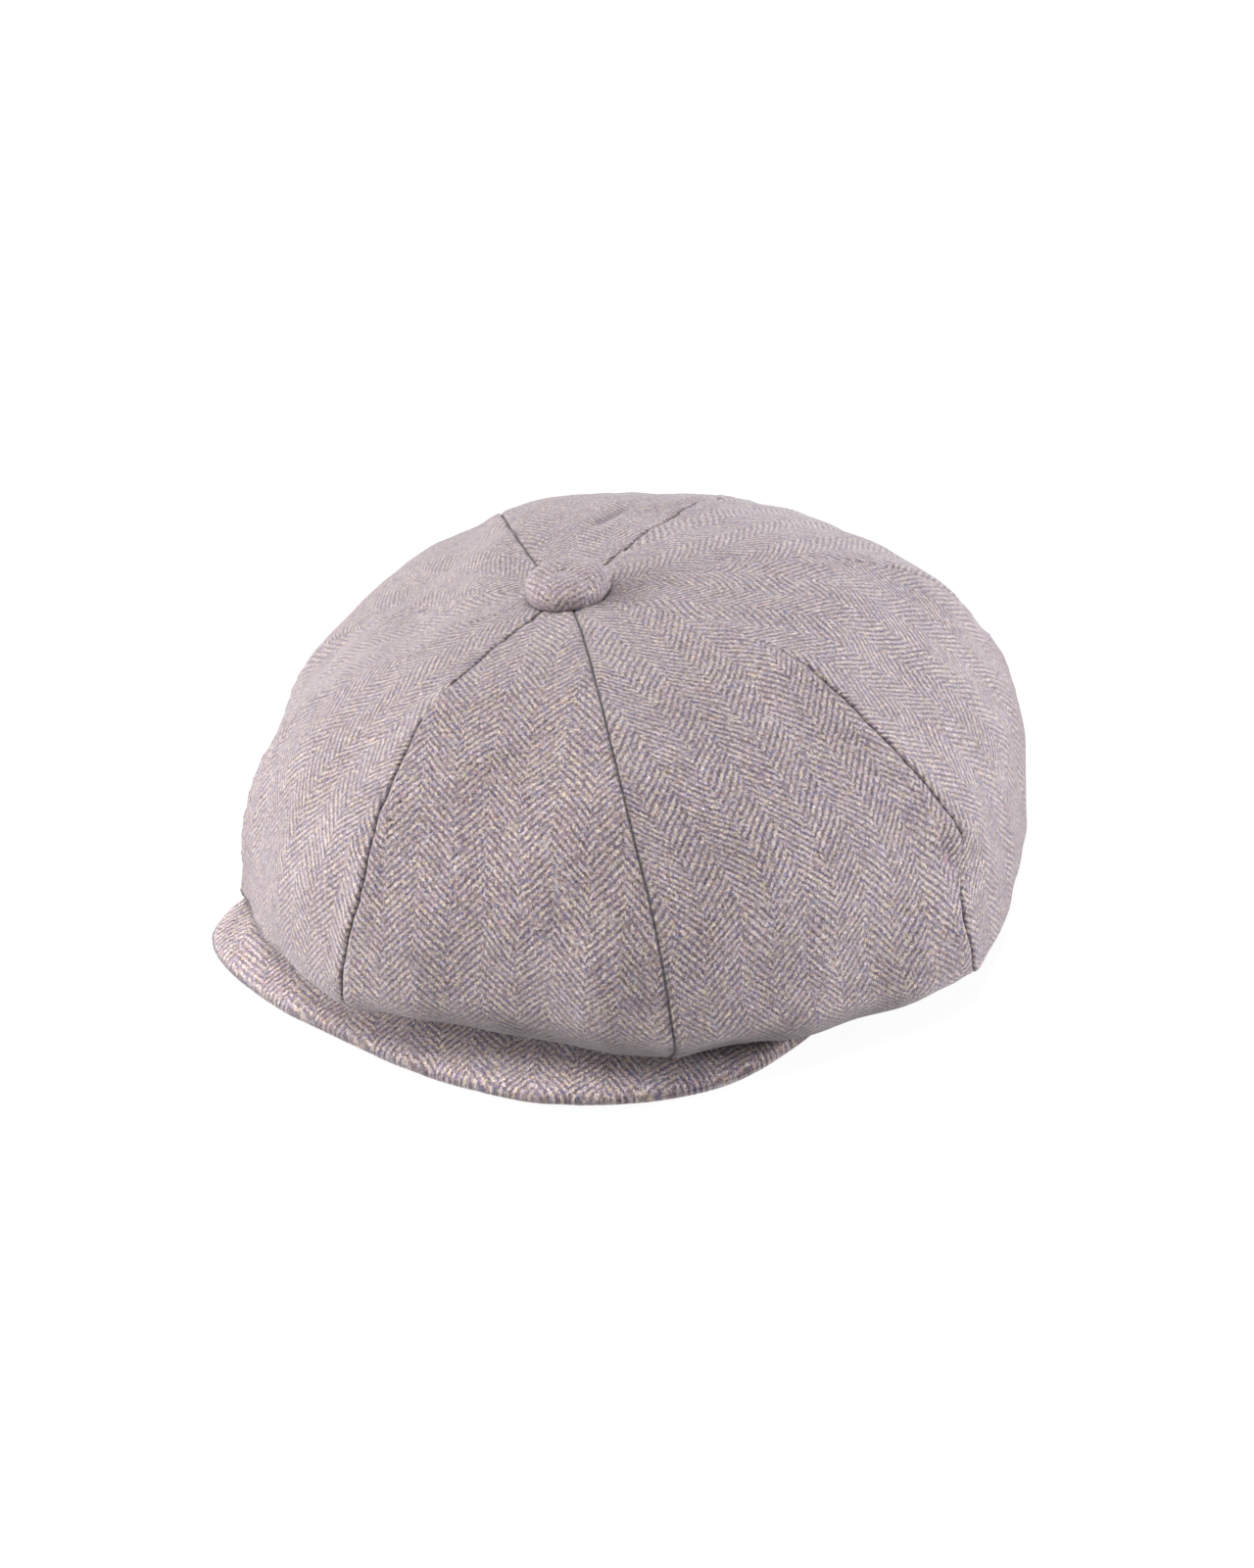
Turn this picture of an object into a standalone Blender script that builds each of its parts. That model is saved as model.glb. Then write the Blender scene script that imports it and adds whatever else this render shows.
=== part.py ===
"""Eight-panel newsboy cap: crown gores, lining, sweatband, covered button and a peak that flexes.

Metres, +Z up. The cap stands on its lowest edges at z = 0, the peak points to -Y, and the wearer's
left is +X. Round the cap, an angle phi is measured about the button: 0 is the front, 90 degrees is +X.
The soft crown has slouched to the wearer's left, so the button is not over the cap's middle.
"""

import math

import bmesh
import bpy
from mathutils import Vector

# Crown, measured from the button's axis
BUTTON_X = -0.0153          # the button, off the middle of the slouched cap
BUTTON_Y = -0.0022
APEX_HEIGHT = 0.1110        # crown under the button
CROWN_RADIUS = 0.1366
CROWN_SLOUCH = 0.0151       # how far the crown's body hangs to +X
PANELS = 8
PANEL_FLATNESS = 0.62       # 0 is a round crown, 1 is an octagon with its corners at the seams
APEX_TILT_X = 0.108         # slope of the crown at the button
APEX_TILT_Y = -0.089
EDGE_ROUNDING = 0.006       # least height of the rolled edge above its fold
WOOL = 0.0016
SATIN = 0.0008
LINING_INSET = 0.0036       # lining below the crown's outer face
SHANK_HOLE = 0.0040         # radius left free at the panels' points
GAP = 0.0003                # clearance between neighbouring pieces

# Head opening, an ellipse of about 56 cm round, and the band sewn inside it
HEAD_X = -0.006
HEAD_Y = 0.0155
HEAD_HALF_WIDTH = 0.080
HEAD_HALF_LENGTH = 0.098
HEAD_SEAM_FRONT_Z = 0.0175  # higher at the front, where the crown sits on the peak
HEAD_SEAM_BACK_Z = 0.0055
BAND_FOOT_FRONT_Z = 0.0120
BAND_FOOT_BACK_Z = 0.0050
BAND_HEIGHT = 0.032
BAND_THICKNESS = 0.0016
BAND_LEAN = 0.003           # the band's top is drawn in by this much

# Peak
PEAK_X = -0.0090            # middle of the peak
PEAK_HALF_WIDTH = 0.1090
PEAK_SIDE_Y = -0.0539       # where the peak is widest
PEAK_REACH = 0.0750         # from there to the front edge
PEAK_SKEW = -0.0251         # the soft peak is pulled to one side
PEAK_SQUARENESS = 1.8
PEAK_RIM_Z = 0.0053         # top of the peak at its front edge
PEAK_RIM_RISE = 0.035        # the rim's slope, up towards the back
PEAK_CORNER = 0.030         # roundness of the two ends
PEAK_CORNER_SHARE = 0.26    # share of the rim's points spent on each rounded end
PEAK_SEAM_GAP = 0.0009
PEAK_END_TRIM = 0.012       # the ends stop this share short of a point
HORN_ANGLE = math.radians(66)
PEAK_CLOTH = 0.0014
BOARD = 0.0016
BOARD_INSET = 0.035         # share of the peak's depth by which the board stops short of its edges

# Covered button
BUTTON_RADIUS = 0.0139
BUTTON_HEIGHT = 0.0072
BUTTON_SIDE = 0.0030        # height at which the dome meets the side
BUTTON_CLOTH = 0.0011
BUTTON_LIP = 0.0112         # inner radius of the cloth turned in below
TIN_THICKNESS = 0.0006
PLATE_RADIUS = 0.0106
SHANK_RADIUS = 0.0018
SHANK_DEPTH = 0.0070

PANEL_NAMES = ("front", "front_left", "left", "back_left", "back", "back_right", "right", "front_right")

# Rows of a panel: the button's hole at 0, over the dome to the widest at 1, and round to the fold at 2.
DOME_ROWS = [0.0, 0.05, 0.13, 0.25, 0.38, 0.52, 0.66, 0.80, 0.92, 1.0, 1.2, 1.42, 1.62, 1.8, 1.93, 2.0]

# Looks: colour, roughness, metallic
TWEED = ((0.45, 0.39, 0.405), 0.95, 0.0)
LINING_CLOTH = ((0.30, 0.26, 0.33), 0.45, 0.0)
BAND_CLOTH = ((0.16, 0.14, 0.15), 0.7, 0.0)
BOARD_PLASTIC = ((0.75, 0.74, 0.70), 0.6, 0.0)
TIN = ((0.72, 0.72, 0.70), 0.35, 1.0)


def clear_scene():
    for obj in list(bpy.data.objects):
        bpy.data.objects.remove(obj, do_unlink=True)


def material(name, look):
    colour, roughness, metallic = look
    mat = bpy.data.materials.new(name)
    mat.use_nodes = True
    shader = mat.node_tree.nodes["Principled BSDF"]
    shader.inputs["Base Color"].default_value = (*colour, 1.0)
    shader.inputs["Roughness"].default_value = roughness
    shader.inputs["Metallic"].default_value = metallic
    return mat


def empty(name, collection, location):
    pivot = bpy.data.objects.new(name, None)
    pivot.location = location
    collection.objects.link(pivot)
    return pivot


# The crown's shape ----------------------------------------------------------------------------------
def harmonics(phi, mean, *pairs):
    """A closed wave: a mean, then the cosine and sine parts of each whole number of turns."""
    value = mean
    for turns, (cosine, sine) in enumerate(pairs, start=1):
        value += cosine * math.cos(turns * phi) + sine * math.sin(turns * phi)
    return value


def crown_reach(phi):
    """The crown's widest radius: round, slouched to +X, a little fuller at the front left."""
    return harmonics(phi, CROWN_RADIUS, (-0.0044, CROWN_SLOUCH), (0.0012, 0.0035),
                     (0.0001, -0.0032), (-0.0023, 0.0011))


def fold_height(phi):
    """The fold where the crown turns under: high over the peak, down to the table at the back."""
    return harmonics(phi, 0.0072, (0.0058, -0.0035), (0.0004, -0.0002))


def widest_height(phi):
    """The height of the widest point, kept far enough above the fold for a rounded edge."""
    fold = fold_height(phi)
    free = harmonics(phi, 0.0313, (-0.0109, 0.0006), (0.0177, 0.0013))
    return fold + math.hypot(free - fold, EDGE_ROUNDING)


def dome_squareness(phi):
    """Exponent of the dome's section: 2 is an ellipse, more is boxier."""
    return harmonics(phi, 2.24, (0.043, 0.206), (0.064, -0.215))


def turn_under(phi):
    """How far the fold lies inside the widest radius."""
    return harmonics(phi, 0.0237, (-0.0004, -0.0011))


def octagon(phi):
    """Scales a radius so that each panel is nearly flat across and the seams are corners."""
    step = 2 * math.pi / PANELS
    off = (phi + step / 2) % step - step / 2
    return 1 + PANEL_FLATNESS * (1 / math.cos(off) - 1.027)


def head_reach(phi, widen):
    """Distance from the button's axis to the head opening, in the direction phi."""
    a = HEAD_HALF_WIDTH + widen
    b = HEAD_HALF_LENGTH + widen
    dx = math.sin(phi)
    dy = -math.cos(phi)
    p = (dx / a) ** 2 + (dy / b) ** 2
    q = -2 * (dx * HEAD_X / a ** 2 + dy * HEAD_Y / b ** 2)
    r = (HEAD_X / a) ** 2 + (HEAD_Y / b) ** 2 - 1
    return (-q + math.sqrt(q * q - 4 * p * r)) / (2 * p)


def along_head(y, front, back):
    """A height that runs straight from the head opening's front to its back."""
    share = (y - HEAD_Y + HEAD_HALF_LENGTH) / (2 * HEAD_HALF_LENGTH)
    return front + (back - front) * share


def crown_point(phi, t, inset=0.0):
    """The crown's outer face, or a layer inset below it.

    t runs from 0 at the button, 1 at the widest and 2 at the lowest fold, to 3 at the head seam.
    """
    reach = (crown_reach(phi) - inset) * octagon(phi)
    wide_z = widest_height(phi)
    fold_r = crown_reach(phi) * octagon(phi) - turn_under(phi)
    fold_z = fold_height(phi) + inset
    if t <= 1:
        angle = t * math.pi / 2
        power = 2 / dome_squareness(phi)
        r = reach * math.sin(angle) ** power
        z = wide_z + (APEX_HEIGHT - inset - wide_z) * max(math.cos(angle), 0.0) ** power
        z += math.cos(angle) ** 2 * r * (APEX_TILT_X * math.sin(phi) - APEX_TILT_Y * math.cos(phi))
    elif t <= 2:
        angle = (t - 1) * math.pi / 2
        r = fold_r + (reach - fold_r) * math.cos(angle)
        z = wide_z - (wide_z - fold_z) * math.sin(angle)
    else:
        s = t - 2
        seam_r = head_reach(phi, GAP)
        seam_z = along_head(-seam_r * math.cos(phi), HEAD_SEAM_FRONT_Z, HEAD_SEAM_BACK_Z) + inset
        r = fold_r + (seam_r - fold_r) * s
        z = fold_z + (seam_z - fold_z) * (1 - (1 - s) ** 2)
    return Vector((r * math.sin(phi), -r * math.cos(phi), z))


def below_shank(phi, t):
    """Moves a row of the dome outward, so that t = 0 is the edge of the hole for the button's shank."""
    if t >= 1:
        return t
    hole = (SHANK_HOLE / crown_reach(phi)) ** (dome_squareness(phi) / 2)
    start = math.asin(hole) * 2 / math.pi
    return start + (1 - start) * t


# Building solids ------------------------------------------------------------------------------------
def grid_faces(bm, grid, ring=False):
    """Skins a grid of points given as columns, and returns its vertices."""
    verts = [[bm.verts.new(point) for point in column] for column in grid]
    columns = verts + verts[:1] if ring else verts
    for left, right in zip(columns, columns[1:]):
        for a, b, c, d in zip(left, right, right[1:], left[1:]):
            bm.faces.new((a, b, c, d))
    return verts


def finish(name, bm, collection, look, pivot):
    bmesh.ops.recalc_face_normals(bm, faces=bm.faces)
    mesh = bpy.data.meshes.new(name)
    bm.to_mesh(mesh)
    bm.free()
    mesh.shade_smooth()
    mesh.set_sharp_from_angle(angle=math.radians(40))
    mesh.materials.append(look)
    obj = bpy.data.objects.new(name, mesh)
    obj.parent = pivot
    collection.objects.link(obj)
    return obj


def loft(name, outer, inner, collection, look, pivot, ring=False):
    """A thin closed solid between two grids, whose edges are mitred and not square as Solidify's."""
    bm = bmesh.new()
    top = grid_faces(bm, outer, ring)
    under = grid_faces(bm, inner, ring)
    ends = [([column[0] for column in top], [column[0] for column in under]),
            ([column[-1] for column in top], [column[-1] for column in under])]
    if ring:
        ends = [(upper + upper[:1], lower + lower[:1]) for upper, lower in ends]
    else:
        ends += [(top[0], under[0]), (top[-1], under[-1])]
    for upper, lower in ends:
        for a, b, c, d in zip(upper, upper[1:], lower[1:], lower):
            bm.faces.new((a, b, c, d))
    return finish(name, bm, collection, look, pivot)


def gore(name, middle, rows, insets, collection, look, pivot):
    """One panel between two seams, kept half a gap from each."""
    columns = 6
    half = math.pi / PANELS
    layers = ([], [])
    for i in range(columns + 1):
        side = -1 + 2 * i / columns
        for layer, inset in zip(layers, insets):
            column = []
            for row in rows:
                t = below_shank(middle + side * half, row)
                seam = crown_point(middle + side * half, t)
                clear = GAP * 0.6 / math.hypot(seam.x, seam.y)
                column.append(crown_point(middle + side * (half - clear), t, inset))
            layer.append(column)
    return loft(name, layers[0], layers[1], collection, look, pivot)


def make_crown(collection, pivot):
    wool = material("tweed", TWEED)
    rows = DOME_ROWS + [2.3, 2.65, 3.0]
    for k, place in enumerate(PANEL_NAMES):
        middle = 2 * math.pi * k / PANELS
        gore("crown_panel_" + place, middle, rows, (0.0, WOOL), collection, wool, pivot)


def make_lining(collection, pivot):
    satin = material("lining", LINING_CLOTH)
    rows = DOME_ROWS + [2.3, 2.65, 2.85]
    insets = (LINING_INSET, LINING_INSET + SATIN)
    for k, place in enumerate(PANEL_NAMES):
        middle = 2 * math.pi * k / PANELS
        gore("lining_panel_" + place, middle, rows, insets, collection, satin, pivot)


def head_ellipse(angle, widen):
    """A point over the head opening's edge. Angle 0 is the front."""
    x = HEAD_X + (HEAD_HALF_WIDTH + widen) * math.sin(angle)
    y = HEAD_Y - (HEAD_HALF_LENGTH + widen) * math.cos(angle)
    return x, y


def band_wall(angle, depth):
    """The band's wall in one direction, from its foot to its top."""
    wall = []
    for share in (0.0, 0.5, 1.0):
        x, y = head_ellipse(angle, -GAP - depth - BAND_LEAN * share)
        foot = along_head(y, BAND_FOOT_FRONT_Z, BAND_FOOT_BACK_Z)
        wall.append(Vector((x, y, foot + BAND_HEIGHT * share)))
    return wall


def make_sweatband(collection, pivot):
    """The band inside the opening. Its foot is one flat ring."""
    columns = 48
    angles = [2 * math.pi * i / columns for i in range(columns)]
    outer = [band_wall(angle, 0.0) for angle in angles]
    inner = [band_wall(angle, BAND_THICKNESS) for angle in angles]
    look = material("sweatband", BAND_CLOTH)
    loft("sweatband", outer, inner, collection, look, pivot, ring=True)


# The peak -------------------------------------------------------------------------------------------
def peak_seam(share):
    """The peak's inner edge, along the head opening. share runs from -1 to 1."""
    x, y = head_ellipse(share * HORN_ANGLE, PEAK_SEAM_GAP)
    z = along_head(y, HEAD_SEAM_FRONT_Z, HEAD_SEAM_BACK_Z) - PEAK_SEAM_GAP
    return Vector((x, y, z))


def peak_rim(share):
    """The peak's outer edge: a wide arc, then a rounded corner back to each end of the seam."""
    arc = 1 - PEAK_CORNER_SHARE
    side = math.copysign(1.0, share)
    turn = side * min(abs(share) / arc, 1.0) * math.pi / 2
    power = 2 / PEAK_SQUARENESS
    x = PEAK_X + side * PEAK_HALF_WIDTH * abs(math.sin(turn)) ** power
    reach = PEAK_REACH * max(math.cos(turn), 0.0) ** power
    y = PEAK_SIDE_Y - reach + PEAK_SKEW * math.sin(turn) * math.cos(turn)
    rim = Vector((x, y, PEAK_RIM_Z + PEAK_RIM_RISE * (PEAK_REACH - reach)))
    if abs(share) <= arc:
        return rim
    s = (abs(share) - arc) / PEAK_CORNER_SHARE
    horn = peak_seam(side)
    knee = rim + Vector((0, PEAK_CORNER, 0))
    corner = rim * (1 - s) ** 2 + knee * 2 * s * (1 - s) + horn * s * s
    return corner


def peak_layer(name, depth, thickness, inset, collection, look, hinge):
    """One layer of the peak: a sheet lofted from the seam to the rim, given its thickness downward."""
    columns = 34
    rows = 4
    grid = []
    for i in range(columns + 1):
        share = (-1 + 2 * i / columns) * (1 - PEAK_END_TRIM - inset)
        start = peak_seam(share) - Vector((0, 0, depth))
        end = peak_rim(share) - Vector((0, 0, depth))
        depths = [inset + (1 - 2 * inset) * j / rows for j in range(rows + 1)]
        grid.append([start.lerp(end, v) - peak_hinge_point() for v in depths])
    bm = bmesh.new()
    grid_faces(bm, grid)
    sheet = finish(name, bm, collection, look, hinge)
    if sheet.data.polygons[0].normal.z < 0:
        sheet.data.flip_normals()
    solid = sheet.modifiers.new("thickness", "SOLIDIFY")
    solid.thickness = thickness
    solid.offset = -1.0


def peak_hinge_point():
    """Middle of the line through the peak's two ends, about which it flexes, in the crown's frame."""
    horn = peak_seam(1.0)
    return Vector((HEAD_X, horn.y, horn.z - PEAK_CLOTH - BOARD / 2))


def make_peak(collection, pivot):
    hinge = empty("peak_hinge", collection, peak_hinge_point())
    hinge.parent = pivot
    wool = material("peak_tweed", TWEED)
    board = material("peak_board", BOARD_PLASTIC)
    peak_layer("peak_top_cover", 0.0, PEAK_CLOTH, 0.0, collection, wool, hinge)
    peak_layer("peak_board", PEAK_CLOTH + GAP, BOARD, BOARD_INSET, collection, board, hinge)
    bottom = PEAK_CLOTH + BOARD + 2 * GAP
    peak_layer("peak_bottom_cover", bottom, PEAK_CLOTH, 0.0, collection, wool, hinge)


# The button -----------------------------------------------------------------------------------------
def turned(name, profile, collection, look, pivot):
    """A turned piece: its half profile, outer side first, carried once round the pivot's Z axis."""
    mesh = bpy.data.meshes.new(name)
    points = [(r, 0.0, z) for r, z in profile]
    mesh.from_pydata(points, [(i, i + 1) for i in range(len(points) - 1)], [])
    mesh.materials.append(look)
    obj = bpy.data.objects.new(name, mesh)
    collection.objects.link(obj)
    screw = obj.modifiers.new("turn", "SCREW")
    screw.axis = "Z"
    screw.steps = 24
    screw.render_steps = 24
    screw.use_merge_vertices = True
    screw.merge_threshold = 0.00005
    screw.use_smooth_shade = True
    obj.parent = pivot
    return obj


def dome(radius, height):
    """Points down a shallow dome, from its middle to the button's side."""
    points = [(0.0, height)]
    for degrees in (72, 54, 36, 18, 0):
        angle = math.radians(degrees)
        r = radius * math.cos(angle) ** 0.7
        points.append((r, BUTTON_SIDE + (height - BUTTON_SIDE) * math.sin(angle) ** 0.8))
    return points


def make_button(collection, pivot):
    """Covered button: cloth over a tin dome, a back plate, and the shank sewn through the crown."""
    upright = Vector((-APEX_TILT_X, -APEX_TILT_Y, 1)).normalized()
    seat = Vector((0, 0, APEX_HEIGHT)) + upright * 2 * GAP
    stand = empty("button_stand", collection, seat)
    stand.rotation_euler = upright.to_track_quat("Z", "Y").to_euler()
    stand.parent = pivot

    inside = BUTTON_RADIUS - BUTTON_CLOTH
    cover = dome(BUTTON_RADIUS, BUTTON_HEIGHT)
    cover += [(BUTTON_RADIUS - 0.0006, 0.0010), (BUTTON_RADIUS - 0.0020, 0.0002), (BUTTON_LIP, 0.0002)]
    cover += [(BUTTON_LIP, 0.0013), (inside, 0.0015)]
    cover += reversed(dome(inside, BUTTON_HEIGHT - BUTTON_CLOTH))
    turned("button_cover", cover, collection, material("button_tweed", TWEED), stand)

    tin = material("button_tin", TIN)
    tin_r = inside - GAP
    tin_h = BUTTON_HEIGHT - BUTTON_CLOTH - GAP
    shell = dome(tin_r, tin_h) + [(tin_r, 0.0020), (tin_r - TIN_THICKNESS, 0.0020)]
    shell += reversed(dome(tin_r - TIN_THICKNESS, tin_h - TIN_THICKNESS))
    turned("button_shell", shell, collection, tin, stand)

    plate = [(0.0, 0.0016), (PLATE_RADIUS, 0.0016), (PLATE_RADIUS, 0.0004), (SHANK_RADIUS, 0.0004)]
    plate += [(SHANK_RADIUS, -SHANK_DEPTH), (0.0, -SHANK_DEPTH)]
    turned("button_back", plate, collection, tin, stand)


def main():
    clear_scene()
    parts = bpy.data.collections.new("newsboy_cap")
    bpy.context.scene.collection.children.link(parts)
    crown = empty("crown_axis", parts, (BUTTON_X, BUTTON_Y, 0))
    make_crown(parts, crown)
    make_lining(parts, crown)
    make_sweatband(parts, crown)
    make_peak(parts, crown)
    make_button(parts, crown)


main()
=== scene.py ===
"""Newsboy cap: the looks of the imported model.

Lengths are metres. Shapes are worked out about the button's axis and then moved by BUTTON_X and BUTTON_Y
into the frame. Round the cap, phi is 0 at the front and 90 degrees at the wearer's left, which is +X.
Down the crown, t is 0 at the button, 1 at the widest, 2 at the fold and 3 at the head seam.
"""

import math

import bpy
import numpy as np
from mathutils import Matrix, Vector


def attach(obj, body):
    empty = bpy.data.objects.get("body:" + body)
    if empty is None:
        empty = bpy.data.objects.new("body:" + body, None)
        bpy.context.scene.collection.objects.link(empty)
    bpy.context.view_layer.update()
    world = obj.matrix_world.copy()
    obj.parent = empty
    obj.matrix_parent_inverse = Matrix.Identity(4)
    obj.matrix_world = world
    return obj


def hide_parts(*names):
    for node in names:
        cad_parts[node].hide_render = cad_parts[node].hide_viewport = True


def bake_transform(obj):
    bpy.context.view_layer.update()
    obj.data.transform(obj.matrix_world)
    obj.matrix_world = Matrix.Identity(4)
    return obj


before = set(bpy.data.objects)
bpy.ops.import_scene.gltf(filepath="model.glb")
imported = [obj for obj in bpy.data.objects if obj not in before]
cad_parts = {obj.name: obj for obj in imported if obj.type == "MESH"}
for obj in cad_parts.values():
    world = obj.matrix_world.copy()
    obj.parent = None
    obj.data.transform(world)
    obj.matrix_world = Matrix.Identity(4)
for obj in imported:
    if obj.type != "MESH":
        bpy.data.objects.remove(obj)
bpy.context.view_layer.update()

# Crown, measured from the button's axis
BUTTON_X = -0.0153
BUTTON_Y = -0.0022
APEX_HEIGHT = 0.1110
APEX_TILT = (0.1081, -0.0892)
REACH = (0.1366, (-0.0044, 0.0151), (0.0012, 0.0035), (0.0001, -0.0032), (-0.0023, 0.0011))
WIDEST = (0.0313, (-0.0109, 0.0006), (0.0177, 0.0013))
FOLD = (0.0074, (0.0058, -0.0035), (0.0004, -0.0002))
SQUARENESS = (2.24, (0.043, 0.206), (0.064, -0.215))
TURN_UNDER = (0.0237, (-0.0004, -0.0011))
LOWER_SQUARENESS = 1.70
PANEL_FLATNESS = 0.615
# In degrees: half a panel, and how softly it turns at its seams. The mean keeps its reach the same.
HALF_PANEL = 22.5
PANEL_SOFTNESS = 1.6
PANEL_EXTRA_TURN = 0.4
PANEL_MEAN = 1.027
EDGE_ROUNDING = 0.0043
WOOL = 0.0013
LINING_INSET = 0.0040
LINING_CLOTH = 0.0004
HEAD_SEAM_EASE = 0.0003
SHANK_HOLE = 0.0036
TABLE = 0.0002

# The crown's fine shape: how high each kind of swell stands. A pair is a height and a half width.
BROAD_SWELL = 0.0010
MIDDLING_SWELL = 0.00045
SMALL_SWELL = 0.00010
PUCKER_SWELL = (0.00022, 0.0060)
GROOVE = (0.0010, 0.00050)
# Half width of the painted shade along each seam's groove.
GROOVE_SHADE = 0.00036
SEAM_ALLOWANCE = (0.00022, 0.0020)
SEAM_ALLOWANCE_PLACE = 0.0030
# Pleats where the wool turns under: height, and how many there are round the cap.
PLEATS = (0.0004, 34)

# Each seam's angle in degrees, and at 0, 0.25, 0.5, 0.75, 1, 1.5 and 2 of the way down: how far it wanders
# off that angle, and how deep its groove lies.
SEAMS = (
    (-157.5, (8.0, 4.5, 1.5, 0.0, -1.0, -1.0, 0.0), (0.8, 0.8, 0.9, 0.9, 0.9, 0.8, 0.8)),
    (-112.5, (1.0, 1.0, 0.0, -1.0, 0.0, 1.0, 0.0), (0.1, 0.1, 0.25, 0.4, 0.6, 0.8, 0.8)),
    (-67.5, (2.0, 2.5, -6.5, -4.0, -2.0, -0.5, 0.0), (0.1, 0.1, 0.15, 0.2, 0.3, 0.6, 0.8)),
    (-22.5, (-2.0, -3.0, -1.4, 0.2, -2.3, -3.3, -2.5), (1.0, 0.8, 0.9, 1.0, 1.0, 1.0, 0.8)),
    (22.5, (-1.0, -2.7, -2.5, -1.4, -0.6, 0.0, 0.0), (1.0, 1.0, 1.0, 1.0, 1.0, 1.0, 0.8)),
    (67.5, (1.0, 2.4, -0.2, 1.0, -3.0, -1.2, 0.0), (0.2, 0.15, 1.0, 1.0, 1.0, 1.0, 0.8)),
    (112.5, (0.0, 0.5, 4.5, 4.0, 2.0, 1.0, 0.0), (0.0, 0.1, 0.5, 0.7, 0.8, 0.8, 0.8)),
    (157.5, (3.0, 4.2, 4.3, 3.5, 2.0, 1.0, 0.0), (0.8, 0.9, 0.9, 0.9, 0.9, 0.8, 0.8)),
)
# Where the crown sags onto the peak: angle in degrees, half width, drop and fullness.
SAGS = ((-66.0, 20.0, 0.0034, 0.0070), (34.0, 22.0, 0.0018, 0.0))
# Where one seam is pulled aside: seam, height t, half size and turn in degrees.
SEAM_PUCKER = (5, 0.88, 0.09, -3.0)
# Where a fold hides a seam's groove: seam, height t and half size.
SEAM_BREAKS = ((3, 0.315, 0.05), (5, 0.80, 0.045))

# Soft folds and hollows of the cloth: middle, half size across each axis, and height.
FOLDS = (
    ((0.1334, -0.0619, 0.0534), (0.012, 0.009, 0.008), -0.0048),
    ((0.1370, -0.0480, 0.0580), (0.010, 0.014, 0.006), 0.0026),
    ((0.1420, -0.0461, 0.0423), (0.010, 0.008, 0.010), 0.0024),
    ((-0.0300, -0.0650, 0.1050), (0.008, 0.010, 0.009), 0.0013),
    ((-0.0560, -0.1120, 0.0600), (0.006, 0.010, 0.028), -0.0011),
    ((0.0570, -0.1290, 0.0450), (0.014, 0.014, 0.012), 0.0009),
)
# Creases: start, end, half width and height.
CREASES = (
    ((-0.0030, 0.0590, 0.1030), (0.0060, 0.0830, 0.0970), 0.0034, -0.0022),
    ((0.0030, 0.0690, 0.1010), (0.0150, 0.0890, 0.0980), 0.0040, 0.0017),
    ((0.0180, 0.0800, 0.0990), (0.0290, 0.0960, 0.0960), 0.0034, -0.0014),
    ((0.1350, -0.0570, 0.0510), (0.1225, -0.0810, 0.0420), 0.0042, 0.0017),
    ((0.1200, -0.0700, 0.0450), (0.1360, -0.0600, 0.0400), 0.0050, -0.0010),
)
# In the seams' order, from the first seam round to it again. Some panels are left off the crown's body,
# their placing baked into their points.
PANEL_NAMES = ("back_right", "right", "front_right", "front", "front_left", "left", "back_left", "back")
BENDING_PANELS = ("front", "front_left", "front_right", "left", "right")

# Head opening
HEAD_X = -0.006
HEAD_Y = 0.0155
HEAD_HALF_WIDTH = 0.080
HEAD_HALF_LENGTH = 0.098
HEAD_SEAM_Z = (0.0175, 0.0055)

# The weave, in millimetres of cloth
YARN = 0.70
COLUMN = 11.2

rng = np.random.RandomState(11)


# Soft noise and helpers -----------------------------------------------------------------------------
class Ripple:
    """Smooth noise over space: a sum of sine waves in random directions."""

    def __init__(self, size, waves=14):
        direction = rng.normal(size=(waves, 3))
        direction /= np.linalg.norm(direction, axis=1)[:, None]
        length = size * rng.uniform(0.65, 1.6, waves)
        self.k = direction * (2 * math.pi / length)[:, None]
        self.phase = rng.uniform(0, 2 * math.pi, waves)

    def __call__(self, points):
        return np.sin(points @ self.k.T + self.phase).sum(-1) / math.sqrt(len(self.phase) / 2)


def wave(phi, mean, *pairs):
    value = mean + 0 * phi
    for turns, (cosine, sine) in enumerate(pairs, start=1):
        value = value + cosine * np.cos(turns * phi) + sine * np.sin(turns * phi)
    return value


def smoothstep(low, high, x):
    t = np.clip((x - low) / (high - low), 0, 1)
    return t * t * (3 - 2 * t)


def round_cap(phi):
    """An angle in degrees, from -180 to 180."""
    return (np.degrees(phi) + 180) % 360 - 180


def unit(vectors):
    return vectors / np.maximum(np.linalg.norm(vectors, axis=-1, keepdims=True), 1e-12)


def head_reach(phi, widen):
    """How far the head opening is from the button's axis, widened on every side."""
    a = HEAD_HALF_WIDTH + widen
    b = HEAD_HALF_LENGTH + widen
    dx = np.sin(phi)
    dy = -np.cos(phi)
    p = (dx / a) ** 2 + (dy / b) ** 2
    q = -2 * (dx * HEAD_X / a ** 2 + dy * HEAD_Y / b ** 2)
    r = (HEAD_X / a) ** 2 + (HEAD_Y / b) ** 2 - 1
    return (-q + np.sqrt(q * q - 4 * p * r)) / (2 * p)


def along_head(y, front, back):
    """A value that changes evenly from the front of the head opening to its back."""
    return front + (back - front) * (y - HEAD_Y + HEAD_HALF_LENGTH) / (2 * HEAD_HALF_LENGTH)


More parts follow.
